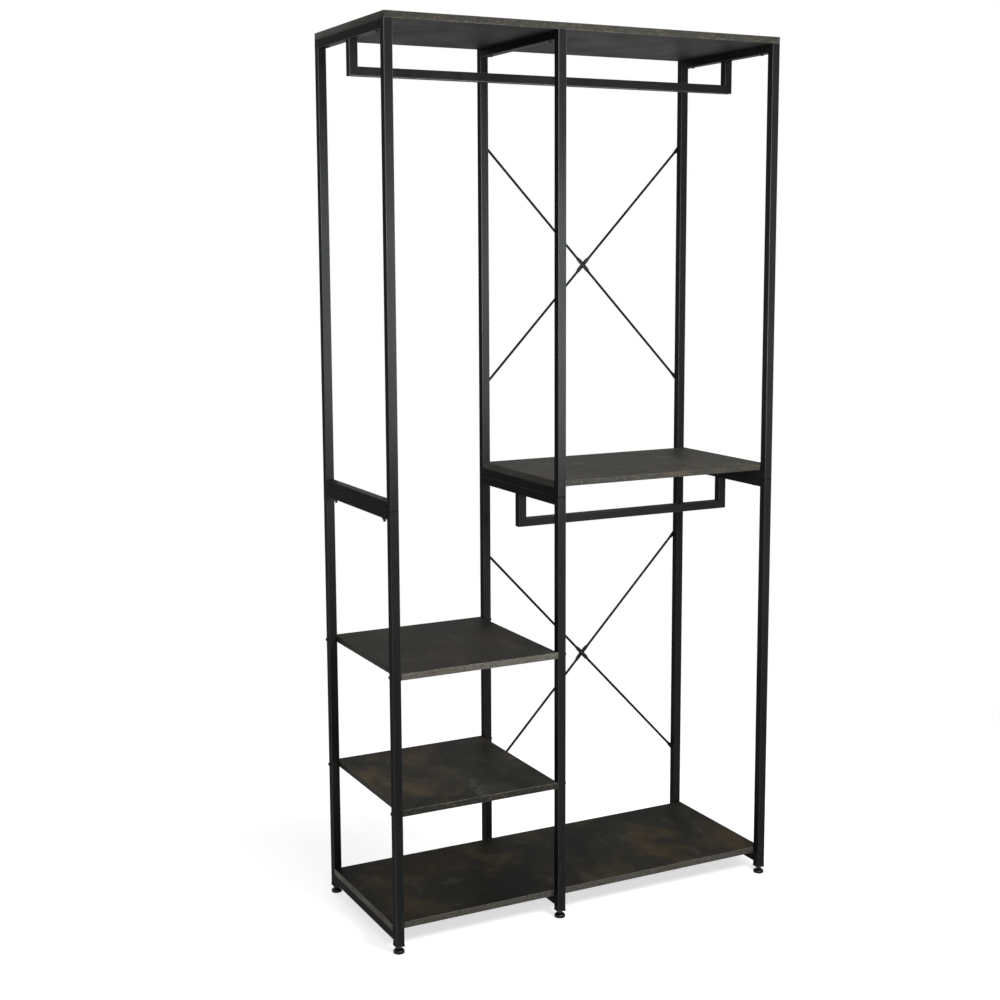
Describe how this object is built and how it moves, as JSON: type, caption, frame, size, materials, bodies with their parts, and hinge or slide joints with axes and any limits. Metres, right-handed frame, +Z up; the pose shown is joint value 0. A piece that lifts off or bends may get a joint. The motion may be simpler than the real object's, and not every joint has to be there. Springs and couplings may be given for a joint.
{
  "type": "open frame wardrobe",
  "caption": "Free-standing open wardrobe: ladder frames of square steel tube carry boards, small shelves, hanging rails and crossed rear braces, on levelling feet.",
  "frame": {"origin": "on the floor, midway between the outer faces of the end frames and midway between the front and rear faces of the uprights", "axes": "+Z up, +X to the right seen from the front, +Y to the back; the front looks to -Y"},
  "size_m": [1.0082, 0.411, 2.035],
  "materials": {
    "frame_coating": "satin black powder coat",
    "rod_coating": "satin black coating on thin round rod",
    "board_laminate": "dark weathered laminate on chipboard, matt, with lighter edge band",
    "fastener_black": "black zinc on steel",
    "foot_plastic": "glossy moulded plastic",
    "cap_plastic": "matt moulded plastic",
    "stud_steel": "zinc plated steel",
    "splice_steel": "plain steel, hidden"
  },
  "bodies": {
    "wardrobe": {"board_screws": "fastener_black", "bottom_board": "board_laminate", "brace_rivets": "fastener_black", "brace_screws": "fastener_black", "foot_caps": "cap_plastic", "frame_bolts": "fastener_black", "frame_nuts": "fastener_black", "hanging_bolts": "fastener_black", "left_lower_bottom_rail": "frame_coating", "left_lower_front_upright": "frame_coating", "left_lower_rear_upright": "frame_coating", "left_lower_top_rail": "frame_coating", "left_shelf_high": "board_laminate", "left_shelf_low": "board_laminate", "left_upper_bottom_rail": "frame_coating", "left_upper_front_upright": "frame_coating", "left_upper_rear_upright": "frame_coating", "left_upper_top_rail": "frame_coating", "lower_brace_rod_falling": "rod_coating", "lower_brace_rod_rising": "rod_coating", "lower_hanging_bar": "frame_coating", "lower_hanging_leg_left": "frame_coating", "lower_hanging_leg_right": "frame_coating", "middle_lower_bottom_rail": "frame_coating", "middle_lower_front_upright": "frame_coating", "middle_lower_rear_upright": "frame_coating", "middle_lower_top_rail": "frame_coating", "middle_shelf": "board_laminate", "middle_upper_bottom_rail": "frame_coating", "middle_upper_front_upright": "frame_coating", "middle_upper_rear_upright": "frame_coating", "middle_upper_top_rail": "frame_coating", "right_lower_bottom_rail": "frame_coating", "right_lower_front_upright": "frame_coating", "right_lower_rear_upright": "frame_coating", "right_lower_top_rail": "frame_coating", "right_upper_bottom_rail": "frame_coating", "right_upper_front_upright": "frame_coating", "right_upper_rear_upright": "frame_coating", "right_upper_top_rail": "frame_coating", "shelf_screws": "fastener_black", "top_board": "board_laminate", "upper_brace_rod_falling": "rod_coating", "upper_brace_rod_rising": "rod_coating", "upper_hanging_bar": "frame_coating", "upper_hanging_leg_left": "frame_coating", "upper_hanging_leg_right": "frame_coating", "upright_splices": "splice_steel"},
    "foot_base_left_front": {"foot_base_left_front": "foot_plastic"},
    "foot_stud_left_front": {"foot_stud_left_front": "stud_steel"},
    "foot_base_left_rear": {"foot_base_left_rear": "foot_plastic"},
    "foot_stud_left_rear": {"foot_stud_left_rear": "stud_steel"},
    "foot_base_middle_front": {"foot_base_middle_front": "foot_plastic"},
    "foot_stud_middle_front": {"foot_stud_middle_front": "stud_steel"},
    "foot_base_middle_rear": {"foot_base_middle_rear": "foot_plastic"},
    "foot_stud_middle_rear": {"foot_stud_middle_rear": "stud_steel"},
    "foot_base_right_front": {"foot_base_right_front": "foot_plastic"},
    "foot_stud_right_front": {"foot_stud_right_front": "stud_steel"},
    "foot_base_right_rear": {"foot_base_right_rear": "foot_plastic"},
    "foot_stud_right_rear": {"foot_stud_right_rear": "stud_steel"}
  },
  "joints": [
    {"name": "foot_lift_left_front", "type": "slide", "parent": "wardrobe", "child": "foot_base_left_front", "axis": [0, 0, -1], "range_m": [0, 0.01]},
    {"name": "foot_turn_left_front", "type": "hinge", "parent": "foot_base_left_front", "child": "foot_stud_left_front", "pos_m": [-0.49, -0.19, 0.016], "axis": [0, 0, -1], "range_deg": [0, 2880]},
    {"name": "foot_lift_left_rear", "type": "slide", "parent": "wardrobe", "child": "foot_base_left_rear", "axis": [0, 0, -1], "range_m": [0, 0.01]},
    {"name": "foot_turn_left_rear", "type": "hinge", "parent": "foot_base_left_rear", "child": "foot_stud_left_rear", "pos_m": [-0.49, 0.19, 0.016], "axis": [0, 0, -1], "range_deg": [0, 2880]},
    {"name": "foot_lift_middle_front", "type": "slide", "parent": "wardrobe", "child": "foot_base_middle_front", "axis": [0, 0, -1], "range_m": [0, 0.01]},
    {"name": "foot_turn_middle_front", "type": "hinge", "parent": "foot_base_middle_front", "child": "foot_stud_middle_front", "pos_m": [-0.08, -0.19, 0.016], "axis": [0, 0, -1], "range_deg": [0, 2880]},
    {"name": "foot_lift_middle_rear", "type": "slide", "parent": "wardrobe", "child": "foot_base_middle_rear", "axis": [0, 0, -1], "range_m": [0, 0.01]},
    {"name": "foot_turn_middle_rear", "type": "hinge", "parent": "foot_base_middle_rear", "child": "foot_stud_middle_rear", "pos_m": [-0.08, 0.19, 0.016], "axis": [0, 0, -1], "range_deg": [0, 2880]},
    {"name": "foot_lift_right_front", "type": "slide", "parent": "wardrobe", "child": "foot_base_right_front", "axis": [0, 0, -1], "range_m": [0, 0.01]},
    {"name": "foot_turn_right_front", "type": "hinge", "parent": "foot_base_right_front", "child": "foot_stud_right_front", "pos_m": [0.49, -0.19, 0.016], "axis": [0, 0, -1], "range_deg": [0, 2880]},
    {"name": "foot_lift_right_rear", "type": "slide", "parent": "wardrobe", "child": "foot_base_right_rear", "axis": [0, 0, -1], "range_m": [0, 0.01]},
    {"name": "foot_turn_right_rear", "type": "hinge", "parent": "foot_base_right_rear", "child": "foot_stud_right_rear", "pos_m": [0.49, 0.19, 0.016], "axis": [0, 0, -1], "range_deg": [0, 2880]}
  ],
  "couplings": [
    {"joint": "foot_turn_left_front", "follows": "foot_lift_left_front", "rad_per_m": 5026.5},
    {"joint": "foot_turn_left_rear", "follows": "foot_lift_left_rear", "rad_per_m": 5026.5},
    {"joint": "foot_turn_middle_front", "follows": "foot_lift_middle_front", "rad_per_m": 5026.5},
    {"joint": "foot_turn_middle_rear", "follows": "foot_lift_middle_rear", "rad_per_m": 5026.5},
    {"joint": "foot_turn_right_front", "follows": "foot_lift_right_front", "rad_per_m": 5026.5},
    {"joint": "foot_turn_right_rear", "follows": "foot_lift_right_rear", "rad_per_m": 5026.5}
  ]
}
